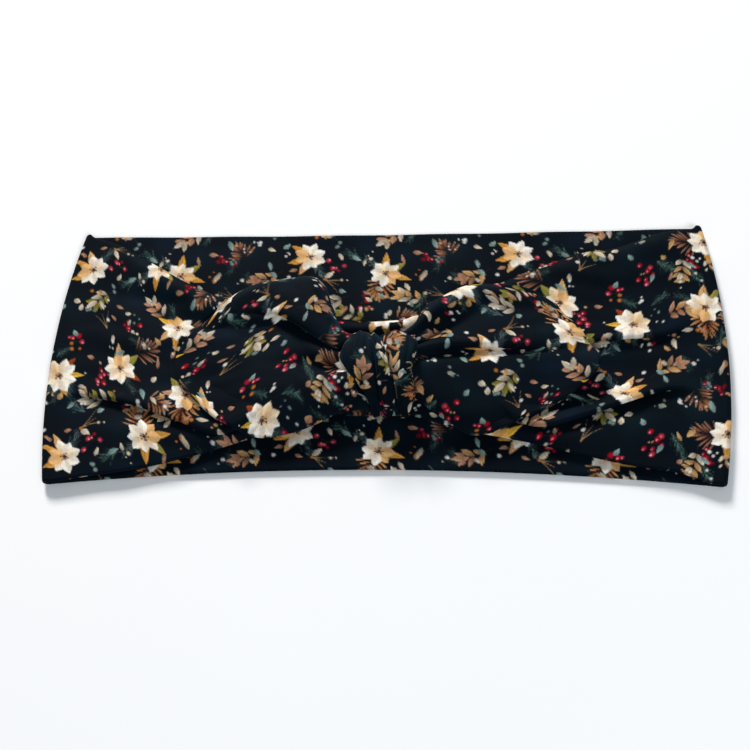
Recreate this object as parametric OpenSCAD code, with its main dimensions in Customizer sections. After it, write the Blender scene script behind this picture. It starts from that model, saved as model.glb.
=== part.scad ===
// Knotted headband: a wide loop of doubled stretch jersey, lying flat.
// The loop has a back half, two side folds and a front half. The front half is gathered at its
// centre, and a tie goes round the gathers and is knotted there, with two broad tails.
// Frame: +Z up, +X along the band, +Y across it, origin below the centre on the resting plane.

/* [Band] */
// Length of the flat loop between its corners
band_l = 240; // [200:1:290]
// Width of the band
band_w = 105; // [88:1:126]
// How far each side fold bows out at its middle
side_bulge = 5; // [2:0.5:8]
// How far the near edge of the back half bows in at its middle
edge_bow = 6; // [0:0.5:10]
// Thickness of one layer of jersey
layer_t = 0.7; // [0.5:0.05:0.9]
// Thickness of the seam allowance between the layers
seam_t = 0.2; // [0.1:0.05:0.3]
// Width of the long seam's allowance
seam_w = 6; // [4:0.5:10]
// Open space between the back half and the front half
loop_gap = 0.8; // [0.6:0.1:1.6]

/* [Gathers] */
// Distance of the knot's centre below the band's middle line
knot_drop = 12; // [6:0.5:14]
// Width of each wing where it enters the knot
gather_w = 22; // [16:0.5:28]
// Height of a wing's top at the knot
gather_h = 12; // [9:0.5:13]
// Height of a wing's middle above its edges, half way along
crown_h = 2.5; // [1:0.25:4]
// Number of folds across a wing
folds = 5; // [3:1:7]
// Height of one fold
fold_h = 0.7; // [0.2:0.1:1]

/* [Knot] */
// Reach of the knot's turns from the middle of the gathers
turn_r = 17; // [15:0.25:21]
// Thickness of a turn
turn_t = 6.4; // [5:0.2:7]
// Width of the left turn
left_turn_w = 10.4; // [8:0.2:13]
// Width of the middle turn
middle_turn_w = 6.8; // [6:0.2:8]
// Width of the right turn
right_turn_w = 8.8; // [7:0.2:10]
// Lean of the turns
turn_lean = 12; // [0:1:18]
// Length of a tack stitch
stitch_l = 4; // [2:0.5:6]
// Distance between tack stitches
stitch_gap = 6; // [3:0.5:8]
// Thickness of the thread
thread_d = 0.5; // [0.3:0.05:0.5]

/* [Tails] */
// Reach of the left tail from its root
left_tail_l = 57; // [40:1:75]
// Reach of the right tail from its root
right_tail_l = 60; // [40:1:75]
// Width of the left tail
left_tail_w = 62; // [44:1:76]
// Width of the right tail
right_tail_w = 59; // [44:1:76]
// Width of a tail where it leaves the knot
tail_root_w = 20; // [14:0.5:26]
// Thickness of a tail where it leaves the knot
tail_root_t = 3.5; // [3:0.25:5]
// Height of a tail's puffed middle above its edge
tail_puff = 2.6; // [0:0.1:3]
// How far the middle of a tail lies above the knot's centre
tail_drift = 8; // [4:0.5:12]

/* [Clearances] */
// Between pieces that move against each other
move_gap = 0.4; // [0.3:0.05:0.6]
// Between pieces that are tied together
tied_gap = 0.1; // [0.05:0.05:0.2]

/* [Hidden] */

// Levels, from the resting plane up
cloth_t = 2 * layer_t + seam_t;
front_z = cloth_t + loop_gap;
edge_z = front_z + cloth_t;

// Side folds: an arc through the corners, bowed out by side_bulge
fold_r = front_z / 2 + cloth_t / 2;
side_r = (pow(band_w / 2, 2) + pow(side_bulge, 2)) / (2 * side_bulge);
side_x = band_l / 2 + side_bulge - side_r;
side_a = asin(band_w / 2 / side_r);

// Knot: three turns side by side, round the gathers
knot_y = -knot_drop;
knot_w = left_turn_w + middle_turn_w + right_turn_w + 2 * tied_gap;
bundle_r = turn_r - turn_t - tied_gap;
knot_reach = cos(turn_lean) * knot_w / 2 + sin(turn_lean) * turn_r;
wing_x = knot_reach + move_gap;
tail_x = knot_reach + 2 * move_gap;

// Meshes of the soft solids
WING_U = 16;
WING_V = 20;
TAIL_U = 14;
TAIL_V = 10;

cloth = [0.07, 0.16, 0.20];
lining = [0.05, 0.12, 0.15];
thread = [0.12, 0.12, 0.13];

function mix(a, b, t) = a + (b - a) * t;

// Outline of one layer of the back half, ending where the side folds begin
function side_point(side, a, r) = [side * (side_x + r * cos(a)), r * sin(a)];
function bow_point(x, half, y) = [x, y + edge_bow * (1 - pow(x / half, 2))];
function back_outline() =
    let (r = side_r - fold_r, corner = side_point(1, side_a, r))
    concat(
        [for (i = [-12:12]) side_point(1, i / 12 * side_a, r)],
        [for (i = [12:-1:-12]) side_point(-1, i / 12 * side_a, r)],
        [for (i = [-11:11]) bow_point(i / 12 * corner[0], corner[0], -corner[1])]
    );

// Outline of the long seam, along the far edge
module far_edge_strip() {
    reach = side_point(1, side_a, side_r - fold_r);
    translate([-reach[0] + seam_w, reach[1] - seam_w])
        square([2 * (reach[0] - seam_w), seam_w]);
}

module back_outer_layer() {
    color(cloth)
        linear_extrude(layer_t)
            polygon(back_outline());
}

module long_seam() {
    color(thread)
        translate([0, 0, layer_t])
            linear_extrude(seam_t)
                far_edge_strip();
}

module back_inner_layer() {
    color(lining)
        translate([0, 0, layer_t + seam_t])
            linear_extrude(layer_t)
                polygon(back_outline());
}

// Side fold: the double layer turning from the back half to the front half
module side_fold() {
    translate([side_x, 0, fold_r])
        rotate([0, 0, -side_a])
            rotate_extrude(angle = 2 * side_a, $fn = 360)
                translate([side_r - fold_r, 0])
                    difference() {
                        circle(fold_r, $fn = 48);
                        circle(loop_gap / 2, $fn = 48);
                        translate([-2 * fold_r, -2 * fold_r])
                            square([2 * fold_r, 4 * fold_r]);
                    }
}

module right_side_fold() {
    color(cloth)
        side_fold();
}

module left_side_fold() {
    color(cloth)
        mirror([1, 0, 0])
            side_fold();
}

// Height of a wing's ridge line, at a share u of the way from the knot to the side
function ridge_z(u) =
    let (rise = gather_h - edge_z - crown_h)
    edge_z + crown_h * (1 - u) + rise * pow(1 - u, 5);
// The same height, at a distance x from the middle
function ridge_at(x) = ridge_z(min(1, max(0, (x - wing_x) / (band_l / 2 - wing_x))));
// Far and near edges of a wing
function spread(u) = pow(u, 0.8);
function far_y(u) = mix(knot_y + gather_w / 2, band_w / 2, spread(u));
function near_y(u) = mix(knot_y - gather_w / 2, -band_w / 2, spread(u));
// A wing's top, with its folds running out from the knot and fading towards the side
function wing_z(u, v) =
    let (dome = 1 - pow(abs(v), 2.4), ripple = fold_h * (1 - u) * (cos(180 * folds * v) - 1))
    edge_z + (ridge_z(u) - edge_z + ripple) * dome;
function wing_point(u, v, z) =
    let (y = mix(near_y(u), far_y(u), (v + 1) / 2),
         edge_y = v * band_w / 2,
         reach = side_r - fold_r - move_gap,
         end_x = side_x + sqrt(pow(reach, 2) - pow(edge_y, 2)))
    [mix(wing_x, end_x, u), y, z];

// Closed solid between two grids of points, each a list of rows
module slab(top, bottom) {
    rows = len(top);
    cols = len(top[0]);
    per = rows * cols;
    points = concat([for (row = top) for (p = row) p], [for (row = bottom) for (p = row) p]);
    upper = [for (i = [0:rows - 2]) for (j = [0:cols - 2])
        let (a = i * cols + j)
        each [[a, a + 1, a + cols + 1], [a, a + cols + 1, a + cols]]];
    lower = [for (f = upper) [f[2] + per, f[1] + per, f[0] + per]];
    rim = concat(
        [for (j = [0:cols - 1]) j],
        [for (i = [1:rows - 1]) i * cols + cols - 1],
        [for (j = [cols - 2:-1:0]) (rows - 1) * cols + j],
        [for (i = [rows - 2:-1:1]) i * cols]
    );
    walls = [for (k = [0:len(rim) - 1])
        let (a = rim[k], b = rim[(k + 1) % len(rim)])
        each [[b, a, a + per], [b, a + per, b + per]]];
    polyhedron(points = points, faces = concat(upper, lower, walls), convexity = 6);
}

module wing() {
    grid = [for (i = [0:WING_U]) [for (j = [-WING_V / 2:WING_V / 2]) [i / WING_U, 2 * j / WING_V]]];
    top = [for (row = grid) [for (p = row) wing_point(p[0], p[1], wing_z(p[0], p[1]))]];
    bottom = [for (row = grid) [for (p = row) wing_point(p[0], p[1], front_z)]];
    slab(top, bottom);
}

module right_wing() {
    color(cloth)
        wing();
}

module left_wing() {
    color(cloth)
        mirror([1, 0, 0])
            wing();
}

// Everything in the knot leans by the same angle about its centre
module at_knot(z) {
    translate([0, knot_y, z])
        rotate([0, 0, turn_lean])
            children();
}

module half_round(r, length) {
    rotate([90, 0, 90])
        translate([0, 0, -length / 2])
            linear_extrude(length)
                intersection() {
                    circle(r, $fn = 96);
                    translate([-r, 0])
                        square([2 * r, r]);
                }
}

// Slot for the closing seam, and the cloth left at each of its ends
slot_end = 2;
seam_slot = [layer_t * 2 + 2 * tied_gap, 2 * (bundle_r - slot_end), bundle_r / 2];

module gathered_centre() {
    color(cloth)
        at_knot(edge_z + tied_gap)
            difference() {
                half_round(bundle_r - tied_gap, knot_w);
                translate([-seam_slot[0] / 2, -seam_slot[1] / 2, -seam_slot[2]])
                    cube([seam_slot[0], seam_slot[1], 2 * seam_slot[2]]);
            }
}

module closing_seam() {
    fit = 2 * tied_gap;
    color(lining)
        at_knot(edge_z + tied_gap)
            translate([-(seam_slot[0] - fit) / 2, -(seam_slot[1] - fit) / 2, 0])
                cube([seam_slot[0] - fit, seam_slot[1] - fit, seam_slot[2] - tied_gap]);
}

// The tie passes behind the gathers as a flat double layer
module tie_under_turn() {
    color(cloth)
        at_knot(front_z)
            translate([-knot_w / 2, -turn_r, 0])
                cube([knot_w, 2 * turn_r, cloth_t]);
}

// One turn of the knot, arching over the gathers: a round-edged strap w wide and turn_t thick
module knot_turn(x, w) {
    at_knot(edge_z)
        translate([x, 0, 0])
            rotate([0, -90, 0])
                rotate([0, 0, -90])
                    rotate_extrude(angle = 180, $fn = 128)
                        translate([turn_r - turn_t / 2, 0])
                            turn_profile(w);
}

module turn_profile(w) {
    round_r = 0.45 * min(turn_t, w);
    square([turn_t, w - 2 * round_r], center = true);
    square([turn_t - 2 * round_r, w], center = true);
    for (i = [-1, 1])
        for (j = [-1, 1])
            translate([i * (turn_t / 2 - round_r), j * (w / 2 - round_r)])
                circle(round_r, $fn = 48);
}

module knot_left_turn() {
    color(cloth)
        knot_turn(-knot_w / 2 + left_turn_w / 2, left_turn_w);
}

module knot_middle_turn() {
    color(cloth)
        knot_turn(-knot_w / 2 + left_turn_w + tied_gap + middle_turn_w / 2, middle_turn_w);
}

module knot_right_turn() {
    color(cloth)
        knot_turn(knot_w / 2 - right_turn_w / 2, right_turn_w);
}

// Tack stitches lie on the back of the under turn
module tack_stitches() {
    color(thread)
        for (i = [-1:1])
            at_knot(front_z - thread_d / 2)
                translate([-stitch_l / 2, i * stitch_gap, 0])
                    rotate([0, 90, 0])
                        cylinder(h = stitch_l, d = thread_d, $fn = 16);
}

// Half width of a tail: it widens from its root and ends in a half ellipse
function tail_half(u, w) =
    let (bend = 0.45, root = tail_root_w / 2)
    u < bend
        ? mix(root, w / 2, sin(90 * u / bend))
        : w / 2 * sqrt(max(0.0004, 1 - pow((u - bend) / (1 - bend), 2)));
// The middle line of a tail starts at the knot and drifts up the band
function tail_mid(u) = knot_y + tail_drift * sin(180 * u);
function tail_row(u) = 1 - pow(1 - u, 1.6);
function tail_floor(x) = ridge_at(x) + move_gap;

module tail(l, w) {
    grid = [for (i = [0:TAIL_U]) [for (j = [-TAIL_V / 2:TAIL_V / 2])
        let (u = tail_row(i / TAIL_U), v = 2 * j / TAIL_V)
        [tail_x + l * u, tail_mid(u) + v * tail_half(u, w), u, v]]];
    bottom = [for (row = grid) [for (p = row) [p[0], p[1], tail_floor(p[0])]]];
    top = [for (row = grid) [for (p = row)
        let (puff = tail_puff * (1 - p[3] * p[3]) * sin(180 * sqrt(p[2])))
        [p[0], p[1], tail_floor(p[0]) + mix(tail_root_t, cloth_t, min(1, 4 * p[2])) + puff]]];
    slab(top, bottom);
}

module right_tail() {
    color(cloth)
        tail(right_tail_l, right_tail_w);
}

module left_tail() {
    color(cloth)
        mirror([1, 0, 0])
            tail(left_tail_l, left_tail_w);
}

back_outer_layer();
back_inner_layer();
long_seam();
left_side_fold();
right_side_fold();
left_wing();
right_wing();
gathered_centre();
closing_seam();
tie_under_turn();
knot_left_turn();
knot_middle_turn();
knot_right_turn();
tack_stitches();
left_tail();
right_tail();
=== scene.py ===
import math
import random

import bpy
import numpy as np
from mathutils import Matrix, Vector


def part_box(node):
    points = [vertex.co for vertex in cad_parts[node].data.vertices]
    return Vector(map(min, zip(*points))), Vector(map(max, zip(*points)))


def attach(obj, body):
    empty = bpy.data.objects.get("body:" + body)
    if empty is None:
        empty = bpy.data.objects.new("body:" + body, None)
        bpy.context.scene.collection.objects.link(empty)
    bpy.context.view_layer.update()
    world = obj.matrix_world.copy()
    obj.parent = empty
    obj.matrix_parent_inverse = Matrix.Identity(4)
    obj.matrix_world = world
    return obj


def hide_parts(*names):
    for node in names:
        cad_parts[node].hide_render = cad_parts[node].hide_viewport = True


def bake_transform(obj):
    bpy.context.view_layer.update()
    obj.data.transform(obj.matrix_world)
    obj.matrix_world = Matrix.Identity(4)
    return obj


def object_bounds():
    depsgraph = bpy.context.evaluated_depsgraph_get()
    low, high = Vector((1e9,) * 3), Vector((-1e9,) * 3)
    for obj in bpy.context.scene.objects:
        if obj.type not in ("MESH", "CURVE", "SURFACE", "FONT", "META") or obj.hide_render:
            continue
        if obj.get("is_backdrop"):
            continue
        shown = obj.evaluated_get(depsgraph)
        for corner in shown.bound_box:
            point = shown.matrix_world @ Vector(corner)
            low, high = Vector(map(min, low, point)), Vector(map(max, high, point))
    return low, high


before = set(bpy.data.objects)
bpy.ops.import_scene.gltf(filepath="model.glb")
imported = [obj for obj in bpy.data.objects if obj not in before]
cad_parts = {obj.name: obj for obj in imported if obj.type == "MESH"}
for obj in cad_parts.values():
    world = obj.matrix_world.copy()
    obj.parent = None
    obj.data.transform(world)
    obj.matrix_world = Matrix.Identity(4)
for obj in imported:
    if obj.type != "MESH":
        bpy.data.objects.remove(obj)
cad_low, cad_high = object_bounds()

# ---------------------------------------------------------------------------------------------
# Studio: a pale table, a camera above the near edge, a low soft window beyond the far left and a
# weaker fill from the near right.
# The camera stands a little to the right of the band and is rolled to keep the band level.
MM = 0.001
CAMERA_AZIMUTH = 11.1
CAMERA_ELEVATION = 61.2
CAMERA_ROLL = -10.0
CAMERA_DISTANCE = 450.6 * MM
CAMERA_FIELD = 34.0
CAMERA_AIM = Vector((-2.3, -8.9, 0.0)) * MM


def turned_to(direction, roll):
    """Orientation that looks along a direction, rolled about it."""
    return direction.to_track_quat("-Z", "Y").to_matrix() @ Matrix.Rotation(math.radians(roll), 3, "Z")


azimuth, elevation = math.radians(CAMERA_AZIMUTH), math.radians(CAMERA_ELEVATION)
sight = Vector((-math.sin(azimuth) * math.cos(elevation),
                math.cos(azimuth) * math.cos(elevation),
                -math.sin(elevation)))
camera_data = bpy.data.cameras.new("camera")
camera_data.lens_unit = "FOV"
camera_data.angle = math.radians(CAMERA_FIELD)
camera_data.clip_start = 10 * MM
camera = bpy.data.objects.new("camera", camera_data)
bpy.context.scene.collection.objects.link(camera)
camera.matrix_world = Matrix.Translation(CAMERA_AIM - sight * CAMERA_DISTANCE) @ turned_to(
    sight, CAMERA_ROLL).to_4x4()
bpy.context.scene.camera = camera
bpy.context.scene.view_settings.view_transform = "Standard"

table_mesh = bpy.data.meshes.new("table")
TABLE_HALF = 3.0
TABLE_GAP = 0.2 * MM
table_mesh.from_pydata([(-TABLE_HALF, -TABLE_HALF, 0), (TABLE_HALF, -TABLE_HALF, 0),
                        (TABLE_HALF, TABLE_HALF, 0), (-TABLE_HALF, TABLE_HALF, 0)], [], [(0, 1, 2, 3)])
table = bpy.data.objects.new("table", table_mesh)
table.location.z = cad_low.z - TABLE_GAP
bpy.context.scene.collection.objects.link(table)
table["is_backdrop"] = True


class Socket:
    """A shader value that takes part in Python expressions, which add its nodes."""

    def __init__(self, graph, link):
        self.graph, self.link = graph, link

    def _math(self, operation, first, second=None):
        values = {0: first} if second is None else {0: first, 1: second}
        return self.graph.node("ShaderNodeMath", {"operation": operation}, values)["Value"]

    def __add__(self, other):
        return self._math("ADD", self, other)

    def __radd__(self, other):
        return self._math("ADD", other, self)

    def __sub__(self, other):
        return self._math("SUBTRACT", self, other)

    def __mul__(self, other):
        return self._math("MULTIPLY", self, other)

    def sin(self):
        return self._math("SINE", self)

    def abs(self):
        return self._math("ABSOLUTE", self)


class Graph:
    """A material's nodes. node() adds any node from its type, its settings and its sockets."""

    def __init__(self, name):
        self.material = bpy.data.materials.new(name)
        self.material.use_nodes = True
        self.tree = self.material.node_tree
        self.tree.nodes.clear()

    def node(self, kind, settings=None, values=None):
        made = self.tree.nodes.new(kind)
        for key, value in (settings or {}).items():
            setattr(made, key, value)
        for key, value in (values or {}).items():
            target = made.inputs[key]
            if isinstance(value, Socket):
                self.tree.links.new(value.link, target)
            else:
                target.default_value = value
        return {out.name: Socket(self, out) for out in made.outputs if out.enabled}

    def finish(self, shader):
        out = self.tree.nodes.new("ShaderNodeOutputMaterial")
        self.tree.links.new(shader.link, out.inputs["Surface"])
        return self.material


table_graph = Graph("table_top")
table_speckle = table_graph.node("ShaderNodeTexNoise", {}, {"Scale": 60.0})["Fac"]
table_paint = table_graph.node("ShaderNodeMix", {"data_type": "RGBA"}, {
    "Factor": table_speckle, 6: (0.96, 0.96, 0.97, 1), 7: (0.98, 0.98, 0.98, 1)})
table_mesh.materials.append(table_graph.finish(table_graph.node(
    "ShaderNodeBsdfPrincipled", {}, {"Base Color": table_paint["Result"], "Roughness": 0.8})["BSDF"]))

world = bpy.data.worlds.new("daylight")
bpy.context.scene.world = world
world.use_nodes = True
world.node_tree.nodes["Background"].inputs["Color"].default_value = (0.93, 0.96, 1.0, 1)
world.node_tree.nodes["Background"].inputs["Strength"].default_value = 0.2


def softbox(name, place, size, power, colour):
    """A square area light that faces the middle of the band, its place and size in millimetres."""
    data = bpy.data.lights.new(name, "AREA")
    data.size = size * MM
    data.energy = power
    data.color = colour
    lamp = bpy.data.objects.new(name, data)
    lamp.matrix_world = Matrix.Translation(Vector(place) * MM) @ turned_to(-Vector(place), 0).to_4x4()
    bpy.context.scene.collection.objects.link(lamp)


softbox("window", place=(-700, 1950, 1250), size=600, power=66.0, colour=(1.0, 0.98, 0.96))
softbox("fill", place=(550, -950, 1000), size=450, power=9.0, colour=(0.84, 0.93, 1.0))

# ---------------------------------------------------------------------------------------------
# Printed jersey: the cloth of the band and of the tie, a dark blue-green knit with a dense small
# floral print that repeats every 80 mm. The print is painted here once, mark by mark, and every
# piece of cloth then takes its colours from it by where each point lay on the flat cloth.
REPEAT = 80
DOTS = 10
MOST_TRIES = 6000
WALE, COURSE = 0.9, 0.75
SIDE = REPEAT * DOTS
draw = random.Random(21)


def tint(red, green, blue):
    return np.array((red, green, blue)) / 255


GROUND = tint(6, 15, 23)
CREAM, WHITE = tint(250, 232, 204), tint(252, 247, 240)
TAN, OCHRE, GOLD = tint(228, 178, 118), tint(222, 158, 68), tint(240, 186, 66)
RUST, BROWN, COPPER = tint(158, 68, 26), tint(96, 50, 30), tint(205, 150, 118)
OLIVE, FIR, MIST = tint(158, 146, 66), tint(84, 116, 102), tint(128, 152, 146)
CRIMSON, ROSE, INK = tint(168, 14, 38), tint(214, 60, 80), tint(58, 26, 26)
cloth_print = np.ones((SIDE, SIDE, 3)) * GROUND


def soft(value, edge):
    """0 outside, 1 inside, over a soft edge that wide."""
    t = np.clip(value / edge + 0.5, 0, 1)
    return t * t * (3 - 2 * t)


def stamp(x, y, reach, angle, paint):
    """Lays one mark on the repeat, wrapping at its edges. paint takes places along and across it."""
    n = int(reach * DOTS) + 2
    step = np.arange(-n, n + 1)
    column, row = round(x * DOTS), round(y * DOTS)
    across = (column + step)[None, :] / DOTS - x
    up = (row + step)[:, None] / DOTS - y
    c, s = math.cos(angle), math.sin(angle)
    cover, colour = paint(across * c + up * s, up * c - across * s)
    cover = cover[..., None]
    spot_on = np.ix_((row + step) % SIDE, (column + step) % SIDE)
    cloth_print[spot_on] = cloth_print[spot_on] * (1 - cover) + colour * cover


def leaf(x, y, angle, long, wide, base, tip, rib=0.35, blunt=0.75):
    """A leaf or petal from its stalk at x, y: one half lighter, with a darker rib."""
    bend = draw.uniform(-0.12, 0.12) * wide
    lit = draw.choice((-1, 1))
    grain = draw.uniform(0, 6)

    def paint(a, b):
        t = np.clip(a / long, 0, 1)
        b = b - bend * np.sin(math.pi * t)
        half = wide / 2 * np.sin(math.pi * t ** blunt)
        cover = soft(half - np.abs(b), 0.22) * (a > 0) * (a < long)
        wet = np.sin(3.1 * a + grain) * np.sin(2.3 * b + grain)
        colour = base + (tip - base) * (t ** 1.2)[..., None]
        colour = colour * (1 + 0.07 * lit * np.tanh(b / 0.4) + 0.035 * wet)[..., None]
        vein = rib * soft(0.14 - np.abs(b), 0.25) * (t < 0.85)
        return cover, np.clip(colour * (1 - 0.5 * vein)[..., None], 0, 1)

    stamp(x, y, long + 1, angle, paint)


def stroke(x, y, angle, long, wide, colour, strength=1.0, curve=0.0):
    """A brush line that tapers to its tip."""

    def paint(a, b):
        t = np.clip(a / long, 0, 1)
        half = wide / 2 * (1 - 0.75 * t)
        cover = soft(half - np.abs(b - curve * long * t * t), 0.25) * (a > 0) * (a < long)
        return cover * strength, colour

    stamp(x, y, long + 1, angle, paint)


def spot(x, y, radius, colour, shine=0.0, strength=1.0):
    """A round berry or dot, shaded to its rim, with a small highlight if it shines."""

    def paint(a, b):
        r = np.hypot(a, b)
        shade = 1 - 0.35 * np.clip(r / radius, 0, 1) ** 2
        glint = shine * soft(radius * 0.33 - np.hypot(a - radius * 0.3, b - radius * 0.3), 0.4)
        lit = np.clip(colour * shade[..., None] + glint[..., None], 0, 1)
        return soft(radius - r, 0.25) * strength, lit

    stamp(x, y, radius + 1, 0, paint)


def bloom_of_dye(x, y, radius, colour, strength):
    """A faint cloud of another dark colour in the ground."""
    squeeze = draw.uniform(1.0, 1.6)

    def paint(a, b):
        r = np.hypot(a, b * squeeze) / radius
        return strength * np.exp(-2.5 * r * r), colour

    stamp(x, y, radius * 1.3, draw.uniform(0, math.tau), paint)


def flower(x, y, size):
    """A star-shaped flower: eight pointed petals, some of them warm, and a ring of dark stamens."""
    turn = draw.uniform(0, math.tau)
    warm = draw.randrange(8)
    order = list(range(8))
    draw.shuffle(order)
    for k in order:
        angle = turn + k * math.tau / 8 + draw.uniform(-0.12, 0.12)
        near = (k - warm) % 8
        if near == 0:
            base, tip = TAN * 0.95, draw.choice((OCHRE, TAN, CREAM))
        elif near == 1:
            base, tip = TAN, draw.choice((TAN, CREAM))
        else:
            base = draw.choice((CREAM * 0.92, TAN * 0.6 + CREAM * 0.36, TAN * 0.3 + CREAM * 0.65))
            tip = WHITE
        leaf(x, y, angle, size * draw.uniform(0.92, 1.1), size * draw.uniform(0.56, 0.66),
             base, tip, rib=0.1, blunt=1.12)
    for k in range(13):
        a, r = turn + k * math.tau / 13 + draw.uniform(-0.2, 0.2), size * draw.uniform(0.1, 0.3)
        stroke(x, y, a, r, 0.4, INK, 0.75)
        if k % 2 == 0:
            spot(x + r * math.cos(a), y + r * math.sin(a), draw.uniform(0.2, 0.34), INK)


def fir_sprig(x, y, angle, long):
    """Fine needles on both sides of a stem, faint like a wash."""
    green = draw.choice((FIR, FIR * 0.75, MIST * 0.75))
    stroke(x, y, angle, long, 0.3, green * 0.8, 0.6)
    count = int(long * 2.3)
    for k in range(count):
        d = long * (k + 0.5) / count
        for side in (-1, 1):
            stroke(x + d * math.cos(angle), y + d * math.sin(angle),
                   angle + side * draw.uniform(0.3, 0.75),
                   (1.15 - 0.6 * k / count) * draw.uniform(2.4, 5.0), 0.22,
                   green * draw.uniform(0.6, 1.5), draw.uniform(0.3, 0.8), draw.uniform(-0.12, 0.12))


def frond(x, y, angle, long, base, tip):
    """Narrow blades in pairs up a short stem."""
    for k in range(6):
        d = long * 0.1 * k
        for side in (-1, 1):
            leaf(x + d * math.cos(angle), y + d * math.sin(angle),
                 angle + side * (1.1 - 0.17 * k) + draw.uniform(-0.1, 0.1),
                 long * (0.72 - 0.05 * k) * draw.uniform(0.75, 1.1), draw.uniform(0.55, 1.0),
                 base * draw.uniform(0.8, 1.1), tip * draw.uniform(0.8, 1.05), rib=0.2, blunt=1.3)


def leaf_spray(x, y, angle, long, colours, size):
    """Pairs of leaves along a thin bent stem, and one at its end."""
    bend = draw.uniform(-0.5, 0.5)
    count = max(3, int(long / (size * 0.62)))
    for k in range(count):
        a = angle + bend * k / count
        stroke(x, y, a, long / count * 1.2, 0.28, BROWN * 0.8, 0.6)
        x, y = x + long / count * math.cos(a), y + long / count * math.sin(a)
        for side in (-1, 1):
            base = draw.choice(colours)
            leaf(x, y, a + side * draw.uniform(0.6, 1.0), size * draw.uniform(0.75, 1.05),
                 size * draw.uniform(0.34, 0.46), base * draw.uniform(0.5, 0.8), base, rib=0.3, blunt=0.9)
    base = draw.choice(colours)
    leaf(x, y, angle + bend, size, size * 0.42, base * 0.8, base, rib=0.4, blunt=0.8)


def berries(x, y, count):
    """A loose cluster of berries on hair-thin stalks."""
    for k in range(count):
        a, r = draw.uniform(0, math.tau), draw.uniform(1.2, 4.6)
        stroke(x, y, a, r, 0.18, BROWN, 0.5)
        spot(x + r * math.cos(a), y + r * math.sin(a), draw.uniform(0.5, 1.2),
             draw.choice((CRIMSON, CRIMSON * 0.7, ROSE * 0.85)), shine=draw.choice((0.0, 0.45, 0.6)))


def scattered(count, apart, taken=(), clear=0.0):
    """Up to count places on the repeat, that far apart and clear of those taken, wrapping round."""
    found = []
    for attempt in range(MOST_TRIES):
        x, y = draw.uniform(0, REPEAT), draw.uniform(0, REPEAT)
        room = True
        for others, gap in ((found, apart), (taken, clear)):
            for ox, oy in others:
                dx = (x - ox + REPEAT / 2) % REPEAT - REPEAT / 2
                dy = (y - oy + REPEAT / 2) % REPEAT - REPEAT / 2
                if dx * dx + dy * dy < gap * gap:
                    room = False
        if room:
            found.append((x, y))
        if len(found) == count:
            break
    return found


def paint_print():
    """The whole repeat, from the faintest marks to the brightest."""
    blooms = scattered(count=7, apart=26)
    for x, y in scattered(count=12, apart=13):
        bloom_of_dye(x, y, draw.uniform(8, 14),
                     draw.choice((tint(10, 36, 52), tint(8, 28, 46), tint(14, 40, 46))),
                     draw.uniform(0.3, 0.6))
    for x, y in scattered(count=14, apart=12):
        fir_sprig(x, y, draw.uniform(0, math.tau), draw.uniform(6, 10))
    for k, (x, y) in enumerate(blooms):
        a = draw.uniform(0, math.tau)
        fir_sprig(x, y, a, 11)
        if k % 2 == 0:
            frond(x + 3 * math.cos(a + 2), y + 3 * math.sin(a + 2), a + 2, draw.uniform(10, 12),
                  *draw.choice(((RUST, OCHRE), (BROWN, COPPER), (RUST * 0.9, TAN))))
        for j in range(3):
            b = a + 3.6 + j * draw.uniform(0.7, 1.1)
            base = draw.choice((OCHRE, OLIVE, RUST, GOLD, COPPER, TAN))
            leaf(x + 2 * math.cos(b), y + 2 * math.sin(b), b, draw.uniform(7, 9),
                 draw.uniform(2.4, 3.4), base * 0.85, base, rib=0.4)
    for k, (x, y) in enumerate(scattered(count=15, apart=10, taken=blooms, clear=9)):
        a = draw.uniform(0, math.tau)
        if k % 4 == 3:
            frond(x, y, a, draw.uniform(9, 12), *draw.choice(((RUST, CREAM * 0.9), (BROWN, COPPER))))
        elif k % 4 == 2:
            for j in (-1, 0, 1):
                stroke(x, y, a + 0.3 * j, draw.uniform(5, 8), 0.45, TAN * 0.75, 0.8, 0.15 * j)
        else:
            leaf_spray(x - 4 * math.cos(a), y - 4 * math.sin(a), a, draw.uniform(7, 11),
                       draw.choice(((CREAM, TAN), (TAN, COPPER), (CREAM * 0.95, OLIVE),
                                    (COPPER, CREAM * 0.9))), draw.uniform(4.4, 5.6))
    for x, y in blooms:
        flower(x, y, draw.uniform(6.2, 7.0))
    for x, y in scattered(count=9, apart=12, taken=blooms, clear=8):
        berries(x, y, draw.choice((4, 6, 8)))
    for x, y in scattered(count=64, apart=4.8, taken=blooms, clear=7.6):
        base = draw.choice((CREAM, TAN, CREAM * 0.85, MIST * 1.2, COPPER))
        leaf(x, y, draw.uniform(0, math.tau), draw.uniform(2.8, 5.2), draw.uniform(1.2, 2.1),
             base * 0.7, base, rib=0.15)
    for x, y in scattered(count=46, apart=5.8, taken=blooms, clear=7.2):
        colour = draw.choice((CREAM, WHITE, WHITE, MIST, TAN, tint(226, 128, 44)))
        for k in range(draw.choice((1, 2, 3, 4))):
            spot(x + draw.uniform(-2, 2), y + draw.uniform(-2, 2), draw.choice((0.35, 0.45, 0.6, 0.8)),
                 colour, strength=draw.uniform(0.8, 1.0))


paint_print()

# The same print in linear light, as the shader takes it.
print_light = np.where(cloth_print < 0.04045, cloth_print / 12.92, ((cloth_print + 0.055) / 1.055) ** 2.4)


def print_at(flat):
    """The print's colour at places on the flat cloth, in millimetres, blended between its dots."""
    place = flat * DOTS
    low = np.floor(place).astype(int)
    part = place - low
    colour = np.zeros(flat.shape[:-1] + (3,))
    for i in (0, 1):
        for j in (0, 1):
            share = np.abs(1 - i - part[..., 0]) * np.abs(1 - j - part[..., 1])
            colour += print_light[(low[..., 1] + j) % SIDE, (low[..., 0] + i) % SIDE] * share[..., None]
    return colour


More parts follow.
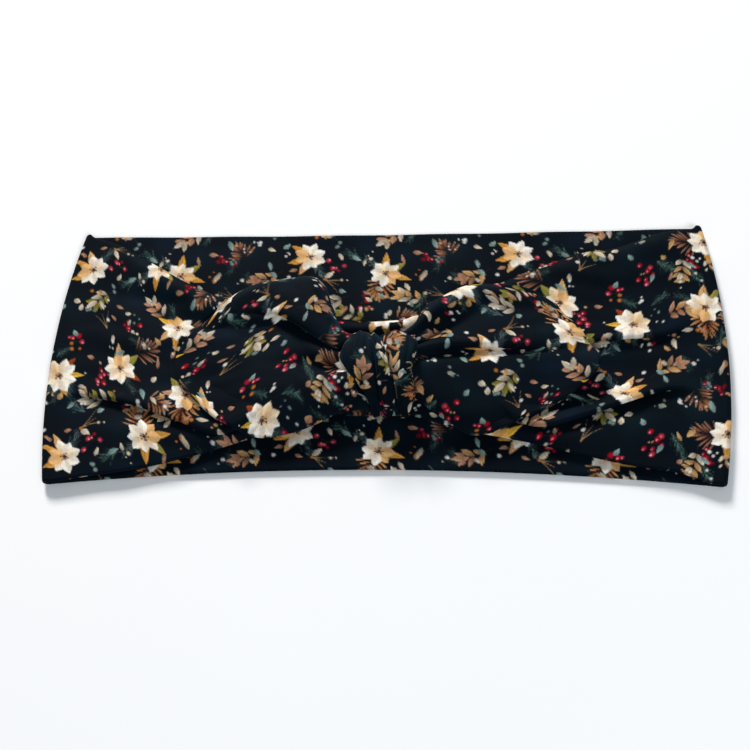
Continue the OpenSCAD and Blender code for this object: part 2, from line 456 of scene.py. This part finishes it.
def jersey(name, nap):
    """The knit's material: the print with painted shade that makes its ribs a little lighter and its
    hollows darker, a random mottle, a fine stitch relief and a bluish nap."""
    g = Graph(name)
    dye = g.node("ShaderNodeAttribute", {"attribute_name": "print"})["Color"]
    flat = g.node("ShaderNodeAttribute", {"attribute_name": "flat"})["Vector"]
    axes = g.node("ShaderNodeSeparateXYZ", {}, {"Vector": flat})
    along, across = axes["X"], axes["Y"]
    fuzz = g.node("ShaderNodeTexNoise", {"noise_dimensions": "2D"},
                  {"Vector": flat, "Scale": 2.6, "Detail": 3.0, "Roughness": 0.6})["Fac"]
    cloud = g.node("ShaderNodeTexNoise", {"noise_dimensions": "2D"},
                   {"Vector": flat, "Scale": 0.09, "Detail": 2.0})["Fac"]
    wale = (along * (math.tau / WALE) + (fuzz - 0.5) * 1.6).sin()
    course = (across * (math.tau / COURSE) + wale.abs() * 1.2).sin()
    stitch = wale * 0.6 + course * 0.4
    # Painted shade: the stitch term lightens the knit's ribs and darkens its hollows in the colour; the
    # fuzz and cloud terms are a random mottle of the dye.
    shade = 0.9 + stitch * 0.04 + (fuzz - 0.5) * 0.14 + (cloud - 0.5) * 0.3
    grey = g.node("ShaderNodeCombineColor", {}, {"Red": shade, "Green": shade, "Blue": shade})["Color"]
    print_rib_shade_and_mottle = g.node("ShaderNodeMix", {"data_type": "RGBA", "blend_type": "MULTIPLY"},
                  {"Factor": 1.0, 6: dye, 7: grey})["Result"]
    bump = g.node("ShaderNodeBump", {}, {"Strength": 0.35, "Distance": 0.12 * MM,
                                         "Height": stitch * 0.5 + fuzz * 0.9})["Normal"]
    return g.finish(g.node("ShaderNodeBsdfPrincipled", {}, {
        "Base Color": print_rib_shade_and_mottle, "Roughness": 0.72 + (fuzz - 0.5) * 0.2, "Normal": bump,
        "Specular IOR Level": 0.035, "Sheen Weight": nap, "Sheen Roughness": 0.35,
        "Sheen Tint": (0.2, 0.6, 1.0, 1)})["BSDF"])


band_jersey = jersey("band_jersey", nap=0.02)

# ---------------------------------------------------------------------------------------------
# Back half of the band: the doubled jersey that lies on the table under everything else, its inner
# face up. Its near edge is drawn in a little at the middle, and its far edge ripples slightly.


def unit(vectors):
    """The same vectors at length 1."""
    return vectors / np.maximum(np.linalg.norm(vectors, axis=-1, keepdims=True), 1e-9)


def woven(name, rings, flat, caps, material):
    """A closed mesh from rings of points, in millimetres, and the caps that shut its two ends. It
    carries its lay on the flat cloth, the print's colours there and a map for baking."""
    rows, around = rings.shape[:2]
    index = np.arange(rows * around).reshape(rows, around)
    nxt = np.roll(index, -1, axis=1)
    sides = np.stack([index[:-1], nxt[:-1], nxt[1:], index[1:]], -1).reshape(-1, 4)
    ends = [[index[0][k] for k in cap] for cap in caps]
    ends += [[index[-1][k] for k in cap[::-1]] for cap in caps]
    mesh = bpy.data.meshes.new(name)
    mesh.from_pydata((rings.reshape(-1, 3) * MM).tolist(), [], sides.tolist() + ends)
    points = rings.reshape(-1, 3)[sides]
    volume = np.einsum("ij,ij->i", points[:, 0], np.cross(points[:, 1], points[:, 2])
                       + np.cross(points[:, 2], points[:, 3])).sum()

    # The sides fill the baking map up to 0.97, and the caps of the two ends lie on lines above them.
    row, column = np.divmod(sides, around)
    column[:, 1:3] = column[:, [0]] + 1
    spread = np.stack([column / around * 0.99, row / (rows - 1) * 0.97], -1).reshape(-1, 2)
    rim = [(k / around * 0.99, shelf) for shelf in (0.98, 0.99) for cap in caps for k in cap]
    mesh.uv_layers.new(name="OFBake").uv.foreach_set("vector", np.concatenate([spread, rim]).ravel())
    if volume < 0:
        mesh.flip_normals()
    mesh.shade_smooth()
    lay = flat.reshape(-1, 2)
    colour = np.ones((len(lay), 4), np.float32)
    colour[:, :3] = print_at(lay)
    mesh.attributes.new("print", "FLOAT_COLOR", "POINT").data.foreach_set("color", colour.ravel())
    place = np.zeros((len(lay), 3), np.float32)
    place[:, :2] = lay
    mesh.attributes.new("flat", "FLOAT_VECTOR", "POINT").data.foreach_set("vector", place.ravel())
    mesh.materials.append(material)
    piece = bpy.data.objects.new(name, mesh)
    bpy.context.scene.collection.objects.link(piece)
    return piece


def doubled(name, middle, flat, thick, material):
    """A piece of doubled cloth with rolled edges all round, from rows of points on its middle
    surface. The number of columns is odd, and the underside has half as many."""
    half = thick / 2
    roll = [math.radians(a) for a in (30, 60, 85)]
    first = middle[:1] - middle[1:2]
    last = middle[-1:] - middle[-2:-1]
    middle = np.concatenate([middle[:1] + unit(first) * half * math.sin(a) for a in roll[::-1]]
                            + [middle] + [middle[-1:] + unit(last) * half * math.sin(a) for a in roll])
    flat = np.concatenate([flat[:1]] * 3 + [flat] + [flat[-1:]] * 3)
    normal = unit(np.cross(np.gradient(middle, axis=0), np.gradient(middle, axis=1)))
    normal[:3], normal[-3:] = normal[3:4], normal[-4:-3]
    if normal[..., 2].mean() < 0:
        normal = -normal
    depth = np.full((len(middle), 1, 1), half)
    for k, a in enumerate(roll):
        depth[2 - k] = depth[-3 + k] = half * math.cos(a)
    top, bottom = middle + normal * depth, (middle - normal * depth)[:, ::-2]
    ring, lay = [top], [flat]
    for end, inner, angles in ((-1, -2, (45, 90, 135)), (0, 1, (135, 90, 45))):
        out = unit(middle[:, [end]] - middle[:, [inner]])
        on = unit(flat[:, [end]] - flat[:, [inner]])
        for angle in angles:
            c, s = math.cos(math.radians(angle)), math.sin(math.radians(angle))
            ring.append(middle[:, [end]] + depth * (normal[:, [end]] * c + out * s))
            lay.append(flat[:, [end]] + on * half * math.radians(angle))
        if end == -1:
            ring.append(bottom)
            lay.append(flat[:, [end]] + on * half * math.pi + flat[:, [end]] - flat[:, ::-2])
    across, under = middle.shape[1], bottom.shape[1]
    around = across + under + 6
    caps = [[across - 1, *range(across, across + 4)], [0, *range(around - 1, around - 5, -1)][::-1]]
    for k in range(under - 1):
        low, high = across + 3 + k, across - 1 - 2 * k
        caps += [[high, low, low + 1, high - 2, high - 1]]
    return woven(name, np.concatenate(ring, 1), np.concatenate(lay, 1), caps, material)


def ease(t):
    """0 below 0, 1 above 1, and smooth between."""
    t = np.clip(t, 0, 1)
    return t * t * (3 - 2 * t)


def limits(node):
    """A CAD node's lowest and highest corners, in millimetres."""
    low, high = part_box(node)
    return np.array(low) / MM, np.array(high) / MM


CLOTH = limits("back_inner_layer")[1][2]
fold_low, fold_high = limits("right_side_fold")
FOLD_R = fold_high[2] / 2
FOLD_MID = FOLD_R - CLOTH / 2
HALF_W = fold_high[1]
SIDE_X = fold_high[0]
CORNER_X = fold_low[0] + FOLD_R
BULGE = SIDE_X - CORNER_X
STEP = 0.5
EDGE_BOW = 6.0
FAR_BOW = 0.8
RIPPLE = 0.3
BACK_LAY = (400, 23)


def side_line(y):
    """Distance of the side fold's outer line from the middle."""
    return CORNER_X + BULGE * (1 - (y / HALF_W) ** 2)


across_count = 2 * int(HALF_W / STEP) + 1
across = np.linspace(1, -1, across_count)[None, :]
along = np.linspace(-1, 1, int(2 * CORNER_X / STEP))[:, None]
near_bow = EDGE_BOW * (1 - along ** 2) * ((1 - across) / 2) ** 1.5
far_bow = FAR_BOW * (1 - along ** 2) * ((1 + across) / 2) ** 4
x = along * (side_line(HALF_W * across) - FOLD_R)
y = HALF_W * across + near_bow - far_bow
z = CLOTH / 2 + RIPPLE * ease((across - 0.9) / 0.1) * np.sin(9 * along) ** 2
back_middle = np.stack([x, y, z + 0 * x], -1)
back_flat = np.stack([x + BACK_LAY[0], HALF_W * across + HALF_W + BACK_LAY[1] + 0 * x], -1)
back = doubled("back_half_cloth", back_middle, back_flat, CLOTH, band_jersey)
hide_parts("back_outer_layer", "back_inner_layer")
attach(back, "back_half")

# ---------------------------------------------------------------------------------------------
# Wings: the two sides of the front half. Each comes round a side fold from the back half at the
# band's full width and is gathered towards the knot, which throws its cloth into folds.

# Each list gives the folds' lines at one distance from the middle, as places across the band and
# heights, from the far edge to the near edge.
LEFT_WING = [
    (104, [(46, 3.6), (40.5, 4.6), (26, 3.4), (8, 4.6), (-8, 4.2), (-20, 5.4), (-18.5, 3.2),
           (-34, 4.2), (-50.5, 3.2)]),
    (88, [(35.5, 5.0), (30.5, 6.8), (20, 4.2), (6, 6.4), (-9, 5.4), (-24, 7.2), (-21, 3.4),
          (-33.5, 5), (-48, 3.3)]),
    (72, [(25, 7.0), (20.5, 8.6), (12, 5.4), (2, 7.4), (-12, 6.4), (-30, 7.8), (-27, 3.8),
          (-36.5, 5), (-44.3, 3.4)]),
    (54, [(17, 7.6), (13, 8.6), (6, 5.6), (-2, 7), (-16, 6), (-34.5, 7), (-32.5, 4.4),
          (-37, 5), (-38.5, 3.6)]),
    (32, [(12, 6), (9, 7.2), (4, 6), (-2, 7.2), (-9, 6), (-19, 7.4), (-20, 5.6), (-26, 6), (-31.5, 4.4)]),
    (8, [(9, 6), (6.5, 7.6), (3, 6.4), (-1, 8), (-5, 6.6), (-10, 8), (-12, 6.4), (-17, 7), (-25, 5)]),
]
RIGHT_WING = [
    (104, [(49, 3.6), (43, 4.4), (24, 3.5), (6, 4.8), (5.6, 3.4), (-10, 3.4), (-17.5, 5.6),
           (-16.5, 3.2), (-32, 4), (-48.5, 3.2)]),
    (88, [(42, 4.4), (36.5, 5.8), (20, 4.2), (3.2, 6.4), (3.6, 4.4), (-13, 3.6), (-23, 7.6),
          (-20.5, 3.4), (-32.5, 4.8), (-45.7, 3.3)]),
    (72, [(38.5, 5.2), (33, 7), (17, 5.4), (1.2, 7.2), (1.2, 5.6), (-20, 4.0), (-29, 7.8),
          (-26.5, 3.8), (-35.5, 5), (-42, 3.4)]),
    (54, [(31, 5.4), (26, 7), (12, 5.4), (-1, 6.8), (-3, 5.6), (-22, 4.6), (-32, 7.4), (-30.5, 4.4),
          (-35.5, 5), (-37.3, 3.6)]),
    (32, [(20, 6), (16, 7.2), (8, 6), (1, 7.2), (-2, 6), (-9, 6), (-18, 7.4), (-20, 5.6),
          (-27, 6), (-33, 4.4)]),
    (8, [(10, 6), (7.5, 7.6), (4, 6.4), (1, 8), (-1, 6.6), (-4, 6.8), (-9, 8), (-12, 6.2), (-17, 7),
         (-26, 5)]),
]
WING_END = LEFT_WING[-1][0]
WING_STEP = 0.42
CREASES = 9
WING_CREASE = 0.35
PULLED_IN = 1.8
PAST_FOLD = 3
wing_columns = 2 * int(HALF_W / WING_STEP) + 1


def through(points, count):
    """Smooth lines through the first axis of an array of given points, at count even shares of
    the way from point to point."""
    p = np.concatenate([2 * points[:1] - points[1:2], points, 2 * points[-1:] - points[-2:-1]])
    place = np.linspace(0, len(points) - 1, count)
    k = np.minimum(place.astype(int), len(points) - 2)
    t = (place - k).reshape((-1,) + (1,) * (points.ndim - 1))
    a, b, c, d = p[k], p[k + 1], p[k + 2], p[k + 3]
    return 0.5 * (2 * b + (c - a) * t + (2 * a - 5 * b + 4 * c - d) * t ** 2
                  + (3 * b - a - 3 * c + d) * t ** 3)


def spaced(line, count):
    """The same line with its points evenly spaced."""
    gone = np.concatenate([[0], np.cumsum(np.linalg.norm(np.diff(line, axis=0), axis=1))])
    want = np.linspace(0, gone[-1], count)
    return np.stack([np.interp(want, gone, line[:, k]) for k in range(line.shape[1])], -1)


def loft(stations, rows, columns):
    """A sheet through its fold lines: stations[i][j] is where line j is at station i."""
    along = through(np.array(stations, float), rows * 2)
    lengths = np.linalg.norm(np.diff(along, axis=0), axis=2).mean(1)
    gone = np.concatenate([[0], np.cumsum(lengths)])
    pick = np.interp(np.linspace(0, gone[-1], rows), gone, np.arange(rows * 2))
    k = np.minimum(pick.astype(int), rows * 2 - 2)
    share = (pick - k)[:, None, None]
    along = along[k] * (1 - share) + along[k + 1] * share
    return np.stack([spaced(through(row, 12 * len(row)), columns) for row in along])


def lay_flat(middle, place):
    """Where each point of a sheet lay on the flat cloth, from its distances along the sheet."""
    ahead = np.linalg.norm(np.diff(middle, axis=0), axis=2)
    along = np.concatenate([np.zeros((1, middle.shape[1])), np.cumsum(ahead, 0)])
    aside = np.linalg.norm(np.diff(middle, axis=1), axis=2)
    across = np.concatenate([np.zeros((len(middle), 1)), np.cumsum(aside, 1)], 1)
    across -= across[:, [-1]] / 2
    return np.stack([place[0] + along, place[1] + across], -1)


def relaxed(points, times):
    """Lets a sheet's inner points settle towards their neighbours."""
    points = points.copy()
    for k in range(times):
        inner = points[1:-1, 1:-1]
        around = (points[:-2, 1:-1] + points[2:, 1:-1] + points[1:-1, :-2] + points[1:-1, 2:]) / 4
        points[1:-1, 1:-1] = inner + 0.6 * (around - inner)
    return points


def creased(middle, deep, seed):
    """The same sheet with shallow random creases that run along it."""
    pick = random.Random(seed)
    flat = lay_flat(middle, (0, 0))
    rise = 0
    for k in range(CREASES):
        long, wide, phase = pick.uniform(45, 120), pick.uniform(6, 15), pick.uniform(0, math.tau)
        swell = np.sin(math.tau * flat[..., 0] / pick.uniform(30, 60) + pick.uniform(0, math.tau))
        rise = rise + (0.5 + 0.5 * swell) * np.sin(
            math.tau * (flat[..., 1] / wide + flat[..., 0] / long) + phase) * wide / 12
    middle = middle.copy()
    middle[..., 2] += deep * rise / 3
    return middle


def wing(side, name, folds, place):
    """One wing. side is -1 on the left and 1 on the right."""
    top = FOLD_R + FOLD_MID
    starts = np.linspace(HALF_W, -HALF_W, len(folds[0][1]))
    pulled = np.linspace(HALF_W - PULLED_IN, -HALF_W, len(folds[0][1]))
    stations = [[(side * (side_line(y) - FOLD_R), y, top) for y in starts],
                [(side * (side_line(y) - FOLD_R - PAST_FOLD), y, top) for y in pulled]]
    for distance, line in folds:
        stations.append([(side * distance, y, z) for y, z in line])
    rows = int((SIDE_X - WING_END) / WING_STEP)
    middle = relaxed(loft(stations, rows, wing_columns), times=4)
    steady = ease(np.linspace(0, 1, rows) / 0.2)[:, None, None]
    middle = middle + steady * (creased(middle, WING_CREASE, seed=5 + side) - middle)
    across = middle[0, :, 1]
    turn = np.radians(np.linspace(-90, 90, 14)[:-1])[:, None]
    start_x = side_line(across)[None, :] - FOLD_R
    fold_part = np.stack([side * (start_x + FOLD_MID * np.cos(turn)), across[None, :] + 0 * turn,
                          FOLD_R + FOLD_MID * np.sin(turn) + 0 * start_x], -1)
    middle = np.concatenate([fold_part, middle], 0)
    flat = lay_flat(middle, place)
    piece = doubled(name + "_cloth", middle, flat, CLOTH, band_jersey)
    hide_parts(name, name.replace("wing", "side_fold"))
    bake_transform(piece)
    return middle, flat


left_wing, left_lay = wing(-1, "left_wing", LEFT_WING, place=(40, 75.5))
right_wing = wing(1, "right_wing", RIGHT_WING, place=(10, 100.5))[0]

# The gathers carry the same folds from wing to wing under the knot.
share = np.linspace(0, 1, 40)[:, None, None]
gathers_middle = left_wing[-1] * (1 - share) + right_wing[-1] * share
gathers_flat = left_lay[-1] + share * np.array((2 * WING_END, 0))
gathers = doubled("gathered_centre_cloth", gathers_middle, gathers_flat, CLOTH, band_jersey)
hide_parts("gathered_centre")
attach(gathers, "front_half")

# ---------------------------------------------------------------------------------------------
# Tails: the two ends of the tie, each a doubled leaf of jersey with a rounded end. They leave the
# knot in a bunch of folds, open out over the wings and lie where they fall.
tie_jersey = jersey("tie_jersey", nap=0.075)
TAIL_STEP = 0.36
TAIL_L = 62
TAIL_W = 64
TAIL_CREASE = 0.3
SETTLING_GAP, TAIL_GAP = 0.35, 0.6

# Each list is one line across a tail, from its far edge to its near edge. The last one is its
# rounded end.
LEFT_TAIL = [
    [(-8, 0, 12), (-8, -3, 15), (-8, -6, 15), (-8, -7, 11.5), (-8, -10, 15), (-8, -13, 11.5),
     (-8, -16, 14.5), (-8, -20, 13), (-8, -23, 10)],
    [(-14.5, 3, 12.5), (-15.5, 0.5, 17), (-16, -4.5, 16.2), (-16, -3.5, 11.5), (-15.5, -8.5, 14.8),
     (-16, -12.5, 11), (-16.5, -18, 13.6), (-16, -24, 12), (-14, -27.5, 9)],
    [(-18.5, 13, 12), (-21.5, 9.5, 17.5), (-23.5, -0.5, 16.6), (-21.5, 2.5, 10.6), (-22.5, -6.5, 14.2),
     (-23, -11, 10.6), (-24, -19, 12.6), (-24, -27, 10.6), (-22, -32, 7.6)],
    [(-23.5, 25, 10.5), (-27, 21, 16), (-31.5, 5.5, 15.6), (-27, 10, 9.4), (-31, -2, 11),
     (-32, -9, 10), (-33, -19, 11.6), (-34, -29, 9.6), (-33, -35.5, 6.6)],
    [(-33, 27, 9.4), (-36, 23, 13), (-42.5, 12, 12), (-39, 13.5, 8.6), (-43, 2, 9), (-43, -8, 9.6),
     (-44, -18, 10), (-44, -29, 8.6), (-43, -36.5, 6.4)],
    [(-52, 22, 9.9), (-54, 17.5, 11.6), (-57, 10, 9.6), (-57, 7, 8), (-58, 0, 8.4), (-59, -8, 8.6),
     (-59, -15, 8.6), (-58, -23, 8), (-57, -31, 6.6)],
    [(-66, 8.5, 7.6), (-69, 5, 7.6), (-71.5, 1, 7.6), (-73.5, -3, 7.6), (-74.5, -7, 7.6), (-74.2, -11, 7.6),
     (-73.3, -14.5, 7.6), (-71.5, -18, 7.2), (-69, -21, 7)],
]
RIGHT_TAIL = [
    [(6, -1, 12), (6, -3, 15), (6, -5.5, 12), (6, -7.5, 15), (6, -9, 11.5), (6, -12.5, 14),
     (6, -15, 14.5), (6, -18, 13), (6, -20, 10)],
    [(13, 4.5, 13), (14, 2, 16.5), (14, -2.5, 11), (14, -6.5, 15.8), (14, -8, 11), (14, -12.5, 13.8),
     (14, -16.5, 13.8), (14, -20, 12.6), (13, -22.5, 10)],
    [(16, 11, 13), (18.5, 8, 16), (20.5, 2.5, 10.2), (21, -4.8, 15.6), (21.5, -5.8, 10.4), (22, -11, 13),
     (22, -18, 12.6), (21, -24, 11.4), (19, -27, 8.6)],
    [(22, 16, 12), (25, 13, 14.6), (28, 6.5, 9.8), (29, -3.4, 14.6), (29.5, -4.2, 9.8), (30.5, -10.5, 12.2),
     (31, -20, 11.6), (29, -28, 10.2), (26, -31.5, 7.6)],
    [(34, 23.5, 9), (37, 19.5, 12), (40, 12, 9.4), (42, -2.6, 13), (43, -3.2, 9), (44, -10, 11),
     (44, -21, 10), (41, -30, 8.6), (36, -36, 6.6)],
    [(53, 22, 8), (56, 17, 9.2), (58, 11, 8.8), (60, -1.6, 10.4), (61, -3.6, 8.4), (62, -9, 9.2),
     (61, -17, 8.4), (58, -23, 7.8), (53, -29.5, 6.6)],
    [(64, 15.5, 7.8), (67, 10.5, 8), (71, 6, 8), (74, 0, 8.6), (77, -5, 9.6), (78, -9, 11),
     (76, -14, 10.6), (71, -18.5, 9), (65, -23, 7.6)],
]

# A map of the heights that the tails lie on.
CELL = 1.0
PAD = 4
ground = np.full((int(2 * SIDE_X / CELL) + 2 * PAD, int(2 * HALF_W / CELL) + 2 * PAD), CLOTH)
for points in (left_wing, right_wing, gathers_middle):
    i = ((points[..., 0] + SIDE_X) / CELL + PAD).round().astype(int)
    j = ((points[..., 1] + HALF_W) / CELL + PAD).round().astype(int)
    np.maximum.at(ground, (i, j), points[..., 2] + CLOTH / 2)
for k in range(2):
    around = [np.roll(ground, (a, b), (0, 1)) for a in (-1, 0, 1) for b in (-1, 0, 1)]
    ground = np.maximum(ground, sum(around) / 9)


def ground_height(points):
    """Height of what lies under each place: the wings' tops, or the back half's where no wing is."""
    fx, fy = (points[..., 0] + SIDE_X) / CELL + PAD, (points[..., 1] + HALF_W) / CELL + PAD
    i, j = fx.astype(int), fy.astype(int)
    a, b = fx - i, fy - j
    return ((1 - a) * (1 - b) * ground[i, j] + a * (1 - b) * ground[i + 1, j]
            + (1 - a) * b * ground[i, j + 1] + a * b * ground[i + 1, j + 1])


def tail(side, name, stations, place):
    """One tail, laid on the wings with a small gap."""
    rows, columns = int(TAIL_L / TAIL_STEP), 2 * int(TAIL_W / TAIL_STEP / 2) + 1
    middle = relaxed(loft(stations, rows, columns), times=6)
    middle = creased(middle, TAIL_CREASE, seed=8 + side)
    for k in range(3):
        floor = ground_height(middle) + CLOTH / 2 + SETTLING_GAP
        middle[..., 2] = np.maximum(middle[..., 2], floor)
        middle = relaxed(middle, times=3)
    middle[..., 2] = np.maximum(middle[..., 2], ground_height(middle) + CLOTH / 2 + TAIL_GAP)
    flat = lay_flat(middle, place)
    piece = doubled(name + "_cloth", middle, flat, CLOTH, tie_jersey)
    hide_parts(name)
    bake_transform(piece)


tail(-1, "left_tail", LEFT_TAIL, place=(12, 52))
tail(1, "right_tail", RIGHT_TAIL, place=(96, 38))

# ---------------------------------------------------------------------------------------------
# Knot: three turns of the tie drawn tight over the gathers. Each is a strap of doubled jersey,
# bunched so that fine pleats run along it.
knot_low, knot_high = limits("knot_middle_turn")
KNOT_Y = (knot_low[1] + knot_high[1]) / 2
KNOT_REACH = (knot_high[1] - knot_low[1]) / 2
KNOT_TOP = knot_high[2]
KNOT_BASE = limits("left_side_fold")[1][2]
TURN_ARC = 190

# For each turn: its thickness, where it lay on the flat cloth, and its place and width at angles
# round the gathers, from the far side over the top to the near side.
TURNS = {
    "left": (8.0, (5, 20), [(-5, -6, 6), (15, -6.5, 7), (50, -7, 9.5), (80, -7, 12.4),
                            (105, -5.4, 10.8), (128, -3.4, 7.4), (145, -2.0, 4.8),
                            (165, -1, 4), (185, -1, 4)]),
    "middle": (9.4, (33, 50), [(-5, -2, 4), (15, -2.6, 4.4), (50, -1.2, 5), (80, 0.9, 5), (105, 2.1, 5.6),
                               (128, 3.0, 6.4), (150, 3.4, 6.6), (165, 3.6, 5.8), (185, 3.4, 4.6)]),
    "right": (7.4, (61, 10), [(-5, 4, 8), (15, 5, 10), (45, 7, 13.2), (75, 8.2, 11.6), (100, 8.5, 7.8),
                              (117, 9.2, 7.2), (137, 9.8, 7.2), (155, 9.9, 6.6), (185, 9, 5)]),
}
ROWS, AROUND = 150, 96


def turn_of_knot(side, thick, place, stations):
    """One bunched strap over the gathers."""
    angle, x, wide = (through(np.array(stations, float)[:, k], ROWS)[:, None] for k in range(3))
    a = np.radians(angle)
    p = np.linspace(0, math.tau, AROUND, endpoint=False)[None, :]
    pleat = 1 + 0.045 * np.cos(7 * p + 2 * np.sin(a)) + 0.03 * np.cos(12 * p - 1.5 * a)
    cx, cy = np.cos(p), np.sin(p)
    half_w = wide / 2 * pleat * cx
    deep = thick / 2 * np.minimum(1, 0.6 + wide / 24) * pleat * cy
    crown = (KNOT_TOP - KNOT_BASE) - thick / 2
    y = np.cos(a) * (KNOT_REACH - thick / 2 + deep)
    z = KNOT_BASE + np.sin(a) * (crown + deep)
    rings = np.stack([x + half_w, KNOT_Y + y, z], -1)
    arc = math.radians(TURN_ARC) * (KNOT_REACH + crown) / 2
    girth = np.cumsum(np.linalg.norm(np.diff(rings, axis=1, append=rings[:, :1]), axis=2), 1)
    flat = np.stack([place[0] + np.linspace(0, arc, ROWS)[:, None] + 0 * p, place[1] + girth], -1)
    half = AROUND // 2
    caps = [[k, k + 1, AROUND - 2 - k, AROUND - 1 - k] for k in range(half - 1)]
    name = f"knot_{side}_turn"
    piece = woven(name + "_cloth", rings, flat, caps, tie_jersey)
    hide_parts(name)
    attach(piece, "front_half")
    arc * MM


for side, (thick, place, stations) in TURNS.items():
    turn_of_knot(side, thick, place, stations)

# The under turn: the tie's strap behind the gathers, laid flat.
low, high = limits("tie_under_turn")
UNDER_TRIM = 5
across = np.linspace(0, 1, 61)[None, :]
along = np.linspace(0, 1, 60)[:, None]
under_x = low[0] + UNDER_TRIM + (high[0] - low[0] - 2 * UNDER_TRIM) * across + 0 * along
under_y = low[1] + UNDER_TRIM + (high[1] - low[1] - 2 * UNDER_TRIM) * along + 0 * across
under_middle = np.stack([under_x, under_y, (low[2] + high[2]) / 2 + 0 * under_x], -1)
under_turn = doubled("tie_under_turn_cloth", under_middle, lay_flat(under_middle, (20, 60)), CLOTH,
                     tie_jersey)
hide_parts("tie_under_turn")
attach(under_turn, "front_half")

# ---------------------------------------------------------------------------------------------
# Sewing: the seam allowances shut inside the cloth and the tack stitches behind the knot, all in
# dark spun thread.
g = Graph("spun_thread")
place = g.node("ShaderNodeTexCoord")["Object"]
strand = g.node("ShaderNodeTexWave", {"bands_direction": "DIAGONAL"},
                {"Vector": place, "Scale": 900.0, "Distortion": 1.5})["Fac"]
thread_colour = g.node("ShaderNodeMix", {"data_type": "RGBA"},
                       {"Factor": strand, 6: (0.010, 0.016, 0.020, 1), 7: (0.035, 0.05, 0.06, 1)})["Result"]
thread_bump = g.node("ShaderNodeBump", {}, {"Strength": 0.5, "Distance": 0.05 * MM,
                                            "Height": strand})["Normal"]
spun_thread = g.finish(g.node("ShaderNodeBsdfPrincipled", {}, {
    "Base Color": thread_colour, "Roughness": 0.8, "Normal": thread_bump})["BSDF"])
for name in ("long_seam", "closing_seam", "tack_stitches"):
    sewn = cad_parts[name]
    sewn.data.materials.clear()
    sewn.data.materials.append(spun_thread)

low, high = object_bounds()
